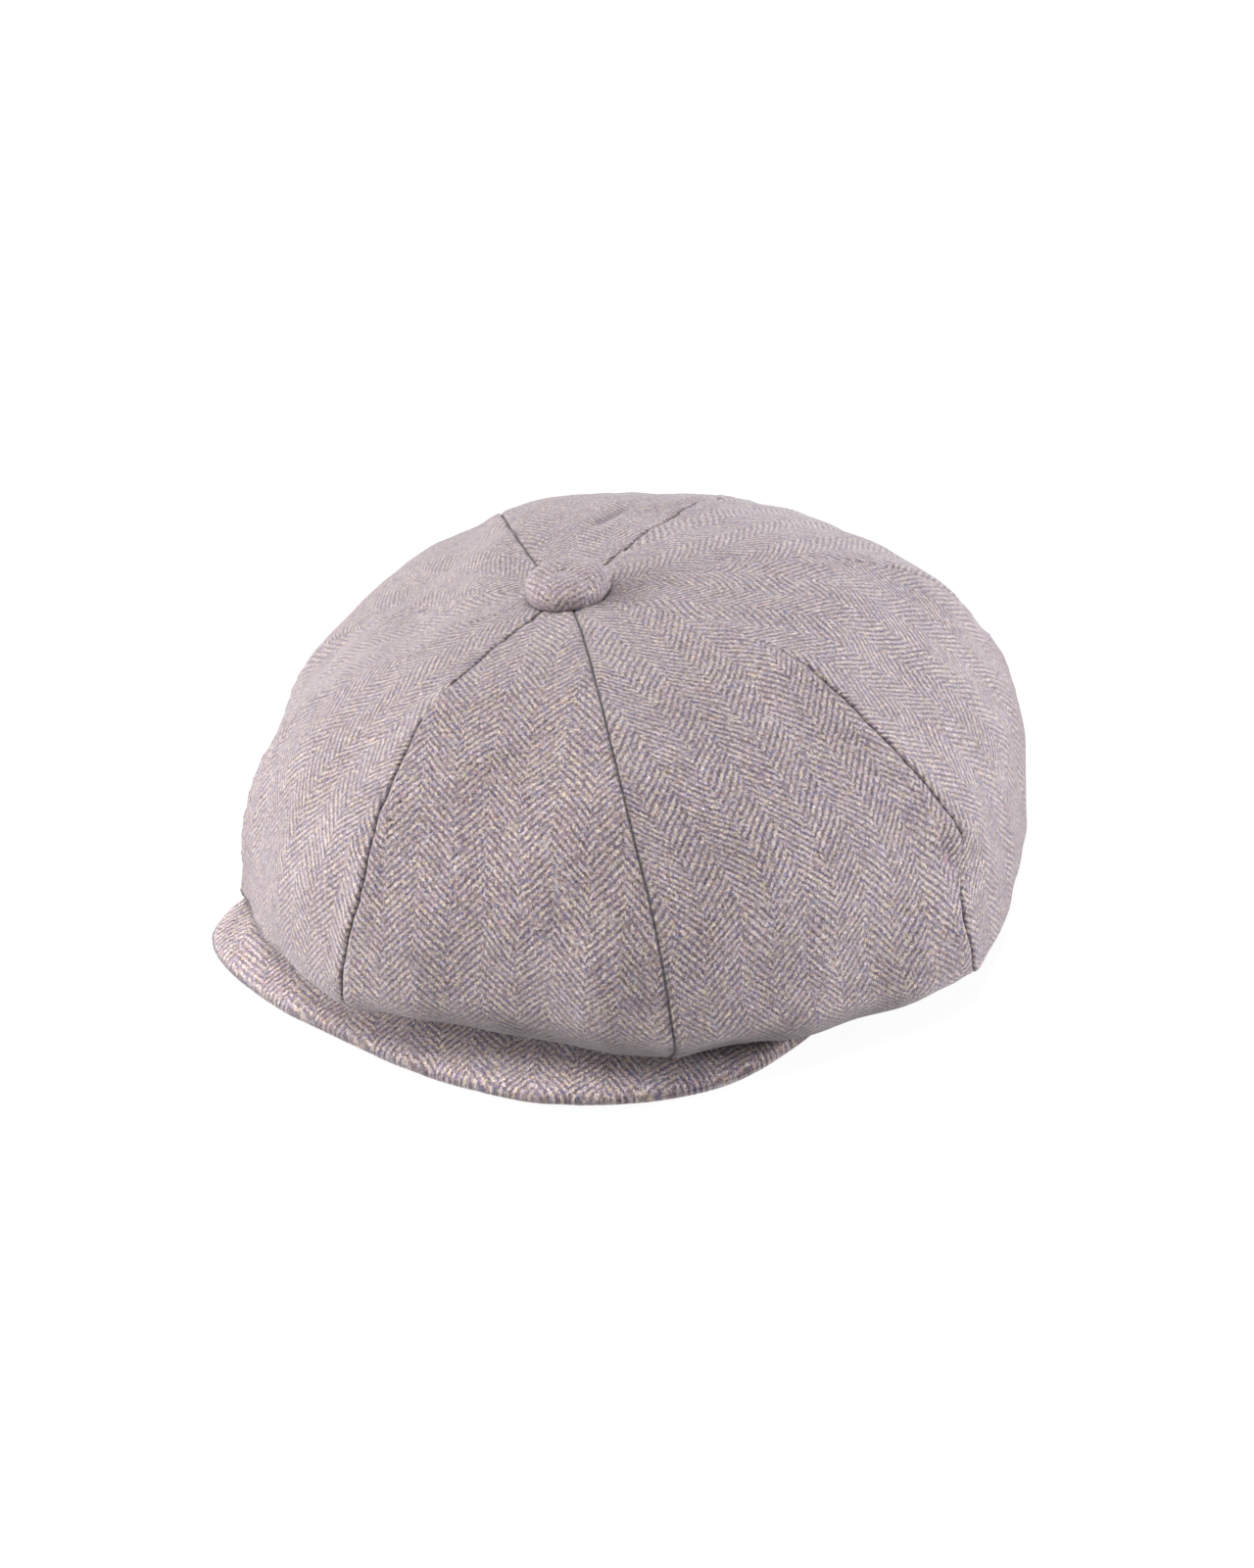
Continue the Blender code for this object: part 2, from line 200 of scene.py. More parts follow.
# The crown's shape ----------------------------------------------------------------------------------
def along_seam(values, t):
    """A smooth curve through a seam's seven values."""
    down = np.clip(t, 0, 2)
    place = np.where(down < 1, down * 4, 2 + down * 2)
    values = np.array(values)
    i = np.clip(np.floor(place).astype(int), 0, 5)
    x = place - i
    before, here, after, beyond = (values[np.clip(i + n, 0, 6)] for n in (-1, 0, 1, 2))
    slope = (after - before) / 2
    next_slope = (beyond - here) / 2
    return (here * (1 + 2 * x) * (1 - x) ** 2 + slope * x * (1 - x) ** 2
            + after * x * x * (3 - 2 * x) - next_slope * x * x * (1 - x))


def seam_angle(k, t):
    """A seam's angle in radians at a height t of the crown."""
    start, offsets, _ = SEAMS[k % 8]
    turn = 360 if k >= 8 else 0
    angle = start + turn + along_seam(offsets, t)
    if k == SEAM_PUCKER[0]:
        angle = angle + SEAM_PUCKER[3] * np.exp(-((t - SEAM_PUCKER[1]) / SEAM_PUCKER[2]) ** 2)
    return np.radians(angle)


def seam_depth(k, t):
    depth = along_seam(SEAMS[k % 8][2], t)
    for seam, middle, half in SEAM_BREAKS:
        if seam == k:
            depth = depth * (1 - np.exp(-((t - middle) / half) ** 4))
    return depth


def crown_surface(phi, t, across, inset=0.0):
    """The crown without its fine shape. across is -1 to 1 from one seam of a panel to the other."""
    slack = np.hypot(HALF_PANEL * (1 - np.abs(across)), PANEL_SOFTNESS)
    flat = 1 / np.cos(np.radians(HALF_PANEL - slack + PANEL_EXTRA_TURN)) - PANEL_MEAN
    corner = 1 + PANEL_FLATNESS * flat * np.clip(t * 4, 0, 1)
    full = wave(phi, *REACH) * corner
    reach = full - inset
    fold = wave(phi, *FOLD)
    tuck = wave(phi, *TURN_UNDER)
    for middle, half, drop, fullness in SAGS:
        share = np.exp(-((round_cap(phi) - middle) / half) ** 2)
        fold = fold - drop * share
        tuck = tuck - fullness * share
    wide = fold + np.hypot(wave(phi, *WIDEST) - fold, EDGE_ROUNDING)
    fold_r = full - tuck
    fold_z = fold + inset
    apex = APEX_HEIGHT - inset

    dome = np.clip(t, 0, 1) * math.pi / 2
    power = 2 / wave(phi, *SQUARENESS)
    r_dome = reach * np.maximum(np.sin(dome), 1e-6) ** power
    z_dome = wide + (apex - wide) * np.maximum(np.cos(dome), 1e-9) ** power
    lean = APEX_TILT[0] * np.sin(phi) - APEX_TILT[1] * np.cos(phi)
    z_dome = z_dome + np.cos(dome) ** 2 * r_dome * lean

    roll = np.clip(t - 1, 0, 1) * math.pi / 2
    power = 2 / LOWER_SQUARENESS
    r_roll = fold_r + (reach - fold_r) * np.maximum(np.cos(roll), 1e-9) ** power
    z_roll = wide - (wide - fold_z) * np.sin(roll) ** power

    s = np.clip(t - 2, 0, 1)
    seam_r = head_reach(phi, HEAD_SEAM_EASE)
    seam_z = along_head(-seam_r * np.cos(phi), *HEAD_SEAM_Z) + inset
    r_under = fold_r + (seam_r - fold_r) * s
    z_under = fold_z + (seam_z - fold_z) * (1 - (1 - s) ** 2)

    r = np.where(t <= 1, r_dome, np.where(t <= 2, r_roll, r_under))
    z = np.where(t <= 1, z_dome, np.where(t <= 2, z_roll, z_under))
    return np.stack([r * np.sin(phi), -r * np.cos(phi), z], -1)


def outward(phi, t):
    """The way out of the smooth crown, the same on both sides of every seam."""
    near = np.clip(t, 0.03, 1.985)
    step = 0.01
    flat = np.zeros_like(phi)
    across = crown_surface(phi + step, near, flat) - crown_surface(phi - step, near, flat)
    down = crown_surface(phi, near + step, flat) - crown_surface(phi, near - step, flat)
    normal = unit(np.cross(down, across))
    under = smoothstep(1.93, 2.05, t)[..., None]
    return unit(normal * (1 - under) + np.array([0, 0, -1.0]) * under)


def lengths(points, axis):
    """Distance run along a grid's rows or columns, from their start."""
    step = np.linalg.norm(np.diff(points, axis=axis), axis=-1)
    pad = [(0, 0), (0, 0)]
    pad[axis] = (1, 0)
    return np.pad(np.cumsum(step, axis=axis), pad)


def spread_rows(stops, counts):
    """Values from stop to stop, with so many steps between each two."""
    rows = [np.linspace(a, b, n, endpoint=False) for a, b, n in zip(stops, stops[1:], counts)]
    return np.concatenate(rows + [np.array(stops[-1:])])


# Making mesh objects --------------------------------------------------------------------------------
def mesh_object(name, points, faces, attributes, material):
    mesh = bpy.data.meshes.new(name)
    moved = points + np.array([BUTTON_X, BUTTON_Y, 0])
    mesh.from_pydata(moved.tolist(), [], faces)
    mesh.update()
    for key, values in attributes.items():
        kind = "FLOAT_VECTOR" if values.ndim == 2 else "FLOAT"
        layer = mesh.attributes.new(key, kind, "POINT")
        layer.data.foreach_set("vector" if values.ndim == 2 else "value", values.astype(np.float32).ravel())
    mesh.shade_smooth()
    obj = bpy.data.objects.new(name, mesh)
    bpy.context.scene.collection.objects.link(obj)
    mesh.materials.append(material)
    return obj


def quads(columns, rows, start=0, ring=False, flip=False):
    """Faces of a grid whose points run down each column in turn."""
    faces = []
    for i in range(columns if ring else columns - 1):
        a = start + i * rows
        b = start + (i + 1) % columns * rows
        for j in range(rows - 1):
            face = (a + j, a + j + 1, b + j + 1, b + j)
            faces.append(face[::-1] if flip else face)
    return faces


def signed_volume(points, faces):
    """The volume within faces of four corners: below zero where they face inward."""
    total = 0.0
    corners = np.array(faces)
    for triangle in ((0, 1, 2), (0, 2, 3)):
        a, b, c = (points[corners[:, i]] for i in triangle)
        total += float((a * np.cross(b, c)).sum() / 6)
    return total


def shell_object(name, outer, inner, weave, seam, material, ring=False):
    """A thin closed piece between two grids of points, columns first."""
    columns, rows = outer.shape[:2]
    count = columns * rows
    points = np.concatenate([outer.reshape(-1, 3), inner.reshape(-1, 3)])
    faces = quads(columns, rows, 0, ring) + quads(columns, rows, count, ring, flip=True)
    for i in range(columns if ring else columns - 1):
        a = i * rows
        b = (i + 1) % columns * rows
        faces.append((a, b, b + count, a + count))
        faces.append((a + rows - 1, a + rows - 1 + count, b + rows - 1 + count, b + rows - 1))
    if not ring:
        last = (columns - 1) * rows
        for j in range(rows - 1):
            faces.append((j, j + count, j + 1 + count, j + 1))
            faces.append((last + j, last + j + 1, last + j + 1 + count, last + j + count))
    pair = np.stack([weave[0].ravel(), weave[1].ravel(), np.zeros(count)], -1)
    # seam holds how much darker the cloth is painted: painted shade and dark lines.
    both = {"weave": np.concatenate([pair, pair]), "seam": np.concatenate([seam.ravel(), seam.ravel()])}
    obj = mesh_object(name, points, faces, both, material)
    if signed_volume(points, faces) < 0:
        obj.data.flip_normals()
    return obj


# Materials ------------------------------------------------------------------------------------------
class Graph:
    """A short way to write a material's nodes."""

    def __init__(self, name):
        self.material = bpy.data.materials.new(name)
        self.material.use_nodes = True
        self.tree = self.material.node_tree
        self.shader = self.tree.nodes["Principled BSDF"]

    def plug(self, socket, value):
        if isinstance(value, bpy.types.NodeSocket):
            self.tree.links.new(value, socket)
        elif value is not None:
            socket.default_value = value

    def math(self, operation, a, b=None, c=None):
        node = self.tree.nodes.new("ShaderNodeMath")
        node.operation = operation
        for socket, value in zip(node.inputs, (a, b, c)):
            self.plug(socket, value)
        return node.outputs[0]

    def vector(self, operation, a, b=None, scale=None):
        node = self.tree.nodes.new("ShaderNodeVectorMath")
        node.operation = operation
        self.plug(node.inputs[0], a)
        self.plug(node.inputs[1], b)
        if scale is not None:
            self.plug(node.inputs["Scale"], scale)
        return node.outputs[0]

    def combine(self, x, y, z=0.0):
        node = self.tree.nodes.new("ShaderNodeCombineXYZ")
        for socket, value in zip(node.inputs, (x, y, z)):
            self.plug(socket, value)
        return node.outputs[0]

    def split(self, vector):
        node = self.tree.nodes.new("ShaderNodeSeparateXYZ")
        self.plug(node.inputs[0], vector)
        return node.outputs

    def attribute(self, name, output="Vector"):
        node = self.tree.nodes.new("ShaderNodeAttribute")
        node.attribute_name = name
        return node.outputs[output]

    def place(self):
        return self.tree.nodes.new("ShaderNodeTexCoord").outputs["Object"]

    def noise(self, vector, scale, detail=2.0, roughness=0.5, output="Fac"):
        node = self.tree.nodes.new("ShaderNodeTexNoise")
        self.plug(node.inputs["Vector"], vector)
        node.inputs["Scale"].default_value = scale
        node.inputs["Detail"].default_value = detail
        node.inputs["Roughness"].default_value = roughness
        return node.outputs[output]

    def white(self, vector, output="Value"):
        node = self.tree.nodes.new("ShaderNodeTexWhiteNoise")
        node.noise_dimensions = "3D"
        self.plug(node.inputs["Vector"], vector)
        return node.outputs[output]

    def ramp(self, value, stops):
        node = self.tree.nodes.new("ShaderNodeValToRGB")
        self.plug(node.inputs[0], value)
        ramp = node.color_ramp
        while len(ramp.elements) < len(stops):
            ramp.elements.new(0.5)
        for element, (position, colour) in zip(ramp.elements, stops):
            element.position = position
            element.color = (*colour, 1.0)
        return node.outputs[0]

    def mix(self, factor, a, b, blend="MIX"):
        node = self.tree.nodes.new("ShaderNodeMix")
        node.data_type = "RGBA"
        node.blend_type = blend
        self.plug(node.inputs[0], factor)
        for socket, value in zip(node.inputs[6:8], (a, b)):
            self.plug(socket, (*value, 1.0) if isinstance(value, tuple) else value)
        return node.outputs[2]

    def bump(self, height, distance, strength):
        node = self.tree.nodes.new("ShaderNodeBump")
        node.inputs["Strength"].default_value = strength
        node.inputs["Distance"].default_value = distance
        self.plug(node.inputs["Height"], height)
        return node.outputs[0]


def tweed_material(name, brightness=1.0, felting=0.0):
    """Herringbone wool tweed. The weave attribute holds the cloth's flat position in metres."""
    g = Graph(name)
    flat = g.vector("SCALE", g.attribute("weave"), scale=1000.0)
    half = (0.5, 0.5, 0.5)
    sway = g.vector("SUBTRACT", g.noise(flat, 0.05, 2.0, output="Color"), half)
    jitter = g.vector("SUBTRACT", g.noise(flat, 0.80, 3.0, 0.65, output="Color"), half)
    cloth = g.vector("ADD", flat, g.vector("SCALE", sway, scale=3.6))
    cloth = g.vector("ADD", cloth, g.vector("SCALE", jitter, scale=1.9))
    u, v, _ = g.split(cloth)

    # 2/2 twill that turns back on itself from column to column
    column = g.math("FLOOR", g.math("DIVIDE", u, COLUMN))
    odd = g.math("FLOORED_MODULO", column, 2.0)
    hand = g.math("MULTIPLY_ADD", odd, 2.0, -1.0)
    warp = g.math("DIVIDE", u, YARN)
    weft = g.math("DIVIDE", v, YARN)
    warp_id = g.math("FLOOR", warp)
    weft_id = g.math("FLOOR", weft)
    stepped = g.math("MULTIPLY", g.math("ADD", warp, warp_id), 0.5)
    twill = g.math("ADD", weft, g.math("MULTIPLY", stepped, hand))
    twill = g.math("MULTIPLY_ADD", odd, 2.0, twill)
    line = g.math("MULTIPLY_ADD", g.math("SINE", g.math("MULTIPLY", twill, math.pi / 2)), 0.5, 0.5)
    ragged = g.math("MULTIPLY_ADD", g.noise(flat, 1.3, 3.0, 0.7), 2.4, -1.2)
    over = g.ramp(g.math("ADD", line, ragged), ((0.34, (0, 0, 0)), (0.66, (1, 1, 1))))
    float_id = g.math("FLOOR", g.math("DIVIDE", twill, 4.0))
    sink_id = g.math("FLOOR", g.math("MULTIPLY_ADD", twill, 0.25, 0.5))

    # every float takes its own tint, and tints gather in drifts
    drift = g.noise(flat, 0.11, 3.0, 0.6)
    warp_pick = g.white(g.combine(warp_id, float_id, 1.0))
    weft_pick = g.white(g.combine(weft_id, sink_id, 5.0))
    streak = g.noise(g.combine(warp_id, g.math("MULTIPLY", v, 0.10), 3.0), 1.7, 2.0)
    light_tone = g.math("ADD", g.math("MULTIPLY", warp_pick, 0.45), g.math("MULTIPLY", drift, 0.30))
    light_tone = g.math("MULTIPLY_ADD", streak, 0.40, light_tone)
    light = g.ramp(light_tone, (
        (0.28, (0.230, 0.165, 0.190)),
        (0.42, (0.420, 0.335, 0.365)),
        (0.54, (0.560, 0.465, 0.450)),
        (0.66, (0.640, 0.550, 0.420)),
        (0.78, (0.500, 0.420, 0.480)),
        (0.90, (0.780, 0.710, 0.690)),
    ))
    dark_tone = g.math("ADD", g.math("MULTIPLY", weft_pick, 0.55), g.math("MULTIPLY", drift, 0.55))
    dark = g.ramp(dark_tone, (
        (0.20, (0.075, 0.056, 0.066)),
        (0.38, (0.130, 0.092, 0.102)),
        (0.52, (0.165, 0.120, 0.125)),
        (0.66, (0.105, 0.088, 0.200)),
        (0.80, (0.200, 0.150, 0.150)),
        (0.92, (0.140, 0.135, 0.300)),
    ))
    colour = g.mix(over, dark, light)

    # loose fibres lie over the weave
    fleck = g.split(g.white(g.vector("FLOOR", g.vector("SCALE", cloth, scale=1.0)), "Color"))
    tint = g.ramp(fleck[0], (
        (0.00, (0.15, 0.14, 0.34)),
        (0.22, (0.24, 0.27, 0.34)),
        (0.44, (0.60, 0.50, 0.27)),
        (0.66, (0.50, 0.27, 0.29)),
        (0.84, (0.70, 0.64, 0.60)),
        (1.00, (0.13, 0.09, 0.10)),
    ))
    colour = g.mix(g.math("MULTIPLY", g.math("POWER", fleck[2], 2.6), 0.72), colour, tint)
    felt = g.noise(flat, 0.16, 3.0, 0.7)
    low = 0.06 + felting
    high = 0.42 + felting
    felt = g.ramp(felt, ((0.40, (low, low, low)), (0.68, (high, high, high))))
    colour = g.mix(felt, colour, (0.315, 0.250, 0.265))

    slub = g.noise(g.vector("ADD", flat, (37.0, 11.0, 0.0)), 0.13, 3.0, 0.65)
    rust = g.ramp(slub, ((0.755, (0, 0, 0)), (0.80, (0.7, 0.7, 0.7))))
    colour = g.mix(rust, colour, (0.36, 0.15, 0.11))

    hair = g.noise(g.place(), 2300.0, 3.0, 0.75)
    tuft = g.noise(g.place(), 1050.0, 3.0, 0.7)
    shade = g.math("MULTIPLY_ADD", hair, 2.20, -0.10)
    shade = g.math("MULTIPLY", shade, g.math("MULTIPLY_ADD", tuft, 3.00, -0.50))
    cloudy = g.noise(flat, 0.035, 3.0, 0.6)
    shade = g.math("MULTIPLY", shade, g.math("MULTIPLY_ADD", cloudy, 0.30, 0.85))
    # The seam attribute darkens the wool: painted shade in the seam grooves, along the crown's turned-under
    # edge, round the button's foot and on the peak under the crown's edge, and a darker line along the
    # peak's rim and head seam.
    seam = g.attribute("seam", "Fac")
    shade = g.math("MULTIPLY", shade, g.math("MULTIPLY_ADD", seam, -0.85, 1.0))
    shade = g.math("MULTIPLY", shade, brightness)
    colour = g.mix(1.0, colour, g.combine(shade, shade, shade), "MULTIPLY")
    g.plug(g.shader.inputs["Base Color"], colour)

    ridge = g.math("COSINE", g.math("MULTIPLY", warp, 2 * math.pi))
    trough = g.math("COSINE", g.math("MULTIPLY", weft, 2 * math.pi))
    high = g.math("MULTIPLY", over, g.math("MULTIPLY_ADD", ridge, 0.25, 0.75))
    low = g.math("MULTIPLY", g.math("SUBTRACT", 1.0, over), g.math("MULTIPLY_ADD", trough, 0.15, 0.25))
    height = g.math("ADD", g.math("ADD", high, low), g.math("MULTIPLY_ADD", hair, 1.0, tuft))
    g.plug(g.shader.inputs["Normal"], g.bump(height, 0.00030, 0.8))
    g.shader.inputs["Roughness"].default_value = 0.95
    g.shader.inputs["Specular IOR Level"].default_value = 0.10
    g.shader.inputs["Sheen Weight"].default_value = 0.55
    g.shader.inputs["Sheen Roughness"].default_value = 0.50
    g.shader.inputs["Sheen Tint"].default_value = (0.92, 0.86, 0.90, 1.0)
    return g.material


def lining_material():
    """Smooth acetate lining: fine warp lines, a faint bloom and a satin sheen."""
    g = Graph("cap_lining")
    cloth = g.vector("SCALE", g.attribute("weave"), scale=1000.0)
    u, v, _ = g.split(cloth)
    warp = g.math("SINE", g.math("MULTIPLY", u, 2 * math.pi / 0.45))
    weft = g.math("SINE", g.math("MULTIPLY", v, 2 * math.pi / 0.55))
    streak = g.noise(g.combine(g.math("MULTIPLY", u, 1.6), g.math("MULTIPLY", v, 0.05)), 1.0, 2.0)
    cloud = g.noise(cloth, 0.05, 2.0)
    tone = g.math("ADD", g.math("MULTIPLY", streak, 0.5), g.math("MULTIPLY", cloud, 0.5))
    colour = g.ramp(tone, ((0.3, (0.19, 0.155, 0.205)), (0.7, (0.29, 0.245, 0.30))))
    seam = g.attribute("seam", "Fac")
    colour = g.mix(g.math("MULTIPLY", seam, 0.7), colour, (0.07, 0.055, 0.075))
    g.plug(g.shader.inputs["Base Color"], colour)
    height = g.math("ADD", warp, g.math("MULTIPLY", weft, 0.7))
    g.plug(g.shader.inputs["Normal"], g.bump(height, 0.00003, 0.6))
    rough = g.math("MULTIPLY_ADD", cloud, 0.15, 0.32)
    g.plug(g.shader.inputs["Roughness"], rough)
    g.shader.inputs["Sheen Weight"].default_value = 0.2
    return g.material


def band_material():
    """Ribbed cotton band: fine upright ribs over fine cross threads."""
    g = Graph("cap_sweatband")
    cloth = g.vector("SCALE", g.attribute("weave"), scale=1000.0)
    u, v, _ = g.split(cloth)
    rib = g.math("SINE", g.math("MULTIPLY", u, 2 * math.pi / 1.1))
    thread = g.math("SINE", g.math("MULTIPLY", v, 2 * math.pi / 0.4))
    cloud = g.noise(cloth, 0.15, 3.0, 0.6)
    fine = g.noise(cloth, 3.0, 2.0)
    tone = g.math("ADD", g.math("MULTIPLY", rib, 0.12), g.math("MULTIPLY_ADD", cloud, 0.5, 0.15))
    tone = g.math("ADD", tone, g.math("MULTIPLY", fine, 0.2))
    colour = g.ramp(tone, ((0.2, (0.045, 0.040, 0.045)), (0.8, (0.13, 0.115, 0.12))))
    g.plug(g.shader.inputs["Base Color"], colour)
    height = g.math("ADD", rib, g.math("MULTIPLY", thread, 0.4))
    g.plug(g.shader.inputs["Normal"], g.bump(height, 0.00010, 0.7))
    g.shader.inputs["Roughness"].default_value = 0.8
    g.shader.inputs["Sheen Weight"].default_value = 0.15
    return g.material


def thread_material():
    g = Graph("cap_thread")
    twist = g.noise(g.place(), 1500.0, 2.0)
    colour = g.ramp(twist, ((0.3, (0.16, 0.13, 0.15)), (0.7, (0.30, 0.25, 0.28))))
    g.plug(g.shader.inputs["Base Color"], colour)
    g.plug(g.shader.inputs["Normal"], g.bump(twist, 0.0001, 0.5))
    g.shader.inputs["Roughness"].default_value = 0.6
    return g.material


def tin_material():
    g = Graph("cap_tin")
    grain = g.noise(g.place(), 300.0, 4.0, 0.6)
    colour = g.ramp(grain, ((0.3, (0.55, 0.55, 0.54)), (0.7, (0.74, 0.74, 0.72))))
    g.plug(g.shader.inputs["Base Color"], colour)
    g.plug(g.shader.inputs["Roughness"], g.math("MULTIPLY_ADD", grain, 0.25, 0.25))
    g.plug(g.shader.inputs["Normal"], g.bump(grain, 0.00005, 0.4))
    g.shader.inputs["Metallic"].default_value = 1.0
    return g.material


def board_material():
    g = Graph("cap_board")
    grain = g.noise(g.place(), 260.0, 4.0, 0.6)
    colour = g.ramp(grain, ((0.3, (0.68, 0.67, 0.63)), (0.7, (0.80, 0.79, 0.75))))
    g.plug(g.shader.inputs["Base Color"], colour)
    g.plug(g.shader.inputs["Roughness"], g.math("MULTIPLY_ADD", grain, 0.2, 0.5))
    g.plug(g.shader.inputs["Normal"], g.bump(grain, 0.0001, 0.4))
    return g.material


TWEED = tweed_material("cap_tweed", 0.86)
# The peak's copy of the same tweed is made brighter than the crown's: painted light.
PAINTED_LIGHT_PEAK_TWEED = tweed_material("cap_peak_tweed_painted_light", 1.22)
BUTTON_TWEED = tweed_material("cap_button_tweed", 0.92, 0.3)
LINING = lining_material()
BAND = band_material()
THREAD = thread_material()

BUTTON_SEAT = (0.0010, -0.0004, APEX_HEIGHT + 0.0004)


def dress(obj, body, nodes=(), bends=False):
    """Sets what a final mesh rides on and the CAD nodes that it stands for."""
    if bends:
        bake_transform(obj)
    else:
        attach(obj, body)
    if nodes:
        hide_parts(*nodes)


# Crown ----------------------------------------------------------------------------------------------
broad = Ripple(0.075)
middling = Ripple(0.030)
small = Ripple(0.012)
pucker = Ripple(0.0085)


def soft_folds(points):
    """How far the folds, hollows and creases move the cloth, in metres."""
    total = 0 * points[..., 0]
    for middle, half, height in FOLDS:
        away = ((points - np.array(middle)) / np.array(half)) ** 2
        total += height * np.exp(-away.sum(-1))
    for start, end, half, height in CREASES:
        start = np.array(start)
        line = np.array(end) - start
        share = np.clip(((points - start) @ line) / (line @ line), 0, 1)
        gap = np.linalg.norm(points - start - share[..., None] * line, axis=-1)
        total += height * np.exp(-(gap / half) ** 2) * np.sin(math.pi * (0.1 + 0.8 * share))
    return total


def crown_relief(points, phi, t, seam_distance, depth):
    """How far the cloth stands off the smooth crown, in metres."""
    top = smoothstep(0.0, 0.35, t)
    under = smoothstep(1.9, 2.3, t)
    free = top * (1 - 0.65 * smoothstep(1.4, 2.0, t))
    relief = BROAD_SWELL * broad(points) * free + MIDDLING_SWELL * middling(points) * free
    relief += SMALL_SWELL * small(points)
    relief += PUCKER_SWELL[0] * pucker(points) * np.exp(-(seam_distance / PUCKER_SWELL[1]) ** 2)
    relief -= GROOVE[0] * depth * np.exp(-(seam_distance / GROOVE[1]) ** 2)
    beside = (seam_distance - SEAM_ALLOWANCE_PLACE) / SEAM_ALLOWANCE[1]
    relief += SEAM_ALLOWANCE[0] * depth * np.exp(-beside ** 2)
    relief += PLEATS[0] * np.sin(phi * PLEATS[1] + 1.7 * np.sin(phi * 5)) * under
    return relief + soft_folds(points)


def gore_grid(k, inset, columns, rows):
    """A panel's angles, heights t, places across and points, columns first."""
    u = np.linspace(-1, 1, columns)
    across = 0.12 * u + 0.88 * np.sin(u * math.pi / 2)
    across = across[:, None] + 0 * rows[None]
    t = rows[None] + 0 * across
    phi = seam_angle(k, t) + (seam_angle(k + 1, t) - seam_angle(k, t)) * (across + 1) / 2
    hole = (SHANK_HOLE / wave(phi, *REACH)) ** (wave(phi, *SQUARENESS) / 2)
    first = np.arcsin(hole) * 2 / math.pi
    t = np.where(t < 1, first + (1 - first) * t, t)
    return phi, t, across, crown_surface(phi, t, across, inset)


def gore_cloth(base, across):
    """The gore laid flat: distance from its middle line, and distance down it."""
    run = lengths(base, 0)
    middle = base.shape[0] // 2
    u = run - run[middle]
    v = lengths(base, 1)[middle][None] + 0 * u
    width = run[-1] - run[0]
    return u, v, (1 - np.abs(across)) * width[None] / 2


def sew_in(obj, place, node):
    """Puts a panel on the crown's body, or bakes its placing into it if it is a bending panel, and hides
    the CAD node that it stands for.
    """
    dress(obj, "crown", [node], place in BENDING_PANELS)


def painted_gore_shade(phi, t, base):
    """Painted shade on the wool: darker where the crown turns under, most of all over the peak, and in a
    ring round the button's foot.
    """
    turned = round_cap(phi)
    over_peak = smoothstep(-42, -15, turned) * smoothstep(72, 45, turned)
    # painted shade along the turned-under edge, strongest where the crown lies over the peak
    painted_tuck_shade = (0.20 + 0.58 * over_peak) * smoothstep(1.02, 1.5, t)
    # painted shade in a ring round the button's foot
    from_button = np.hypot(base[..., 0] - BUTTON_SEAT[0], base[..., 1])
    painted_button_shade = 0.55 * smoothstep(0.0175, 0.0135, from_button)
    return np.maximum(painted_tuck_shade, painted_button_shade)


def make_gore(k, place):
    rows = spread_rows([0.0, 0.06, 0.35, 1.0, 1.6, 2.0, 3.0], [5, 18, 44, 30, 26, 20])
    phi, t, across, base = gore_grid(k, 0.0, 73, rows)
    u, v, edge = gore_cloth(base, across)
    out = outward(phi, t)
    depth = np.where(across < 0, seam_depth(k, t), seam_depth(k + 1, t))
    relief = crown_relief(base, phi, t, edge, depth)
    outer = base + out * relief[..., None]
    outer[..., 2] = np.maximum(outer[..., 2], TABLE)
    inner = outer - out * WOOL
    # Painted shade: dark along each seam's groove, taken with the painted shade under the crown's edge and
    # round the button.
    seam = np.maximum(np.exp(-(edge / GROOVE_SHADE) ** 2) * depth, painted_gore_shade(phi, t, base))
    weave = (u + 0.0013 * k, v + 0.021 * k)
    obj = shell_object("crown_gore_" + place, outer, inner, weave, seam, TWEED)
    sew_in(obj, place, "crown_panel_" + place)


def make_lining(k, place):
    rows = spread_rows([0.0, 0.35, 1.0, 2.0, 2.85], [12, 20, 26, 10])
    phi, t, across, base = gore_grid(k, LINING_INSET, 31, rows)
    u, v, edge = gore_cloth(base, across)
    out = outward(phi, t)
    relief = 0.0007 * middling(base * 1.3) + 0.0003 * small(base) - 0.0006
    relief += 0.0007 * np.exp(-(edge / 0.0012) ** 2)
    relief += np.minimum(soft_folds(base + out * LINING_INSET), 0)
    outer = base + out * relief[..., None]
    inner = outer - out * LINING_CLOTH
    seam = np.exp(-(edge / 0.0008) ** 2)
    obj = shell_object("lining_gore_" + place, outer, inner, (u, v + 0.013 * k), seam, LINING)
    sew_in(obj, place, "lining_panel_" + place)


for k, place in enumerate(PANEL_NAMES):
    make_gore(k, place)
    make_lining(k, place)


# Sweatband ------------------------------------------------------------------------------------------
def ellipse(angle, widen):
    """Points round the head opening, widened on every side."""
    x = HEAD_X + (HEAD_HALF_WIDTH + widen) * np.sin(angle)
    y = HEAD_Y - (HEAD_HALF_LENGTH + widen) * np.cos(angle)
    return x, y


BAND_HEIGHT = 0.0314
BAND_FOOT = (0.0120, 0.0050)
BAND_LEAN = 0.003
BAND_GAP = 0.0011
BAND_HALF_THICKNESS = 0.0007
STITCH_COUNT = 150
STITCH_WIDTH = 0.00028


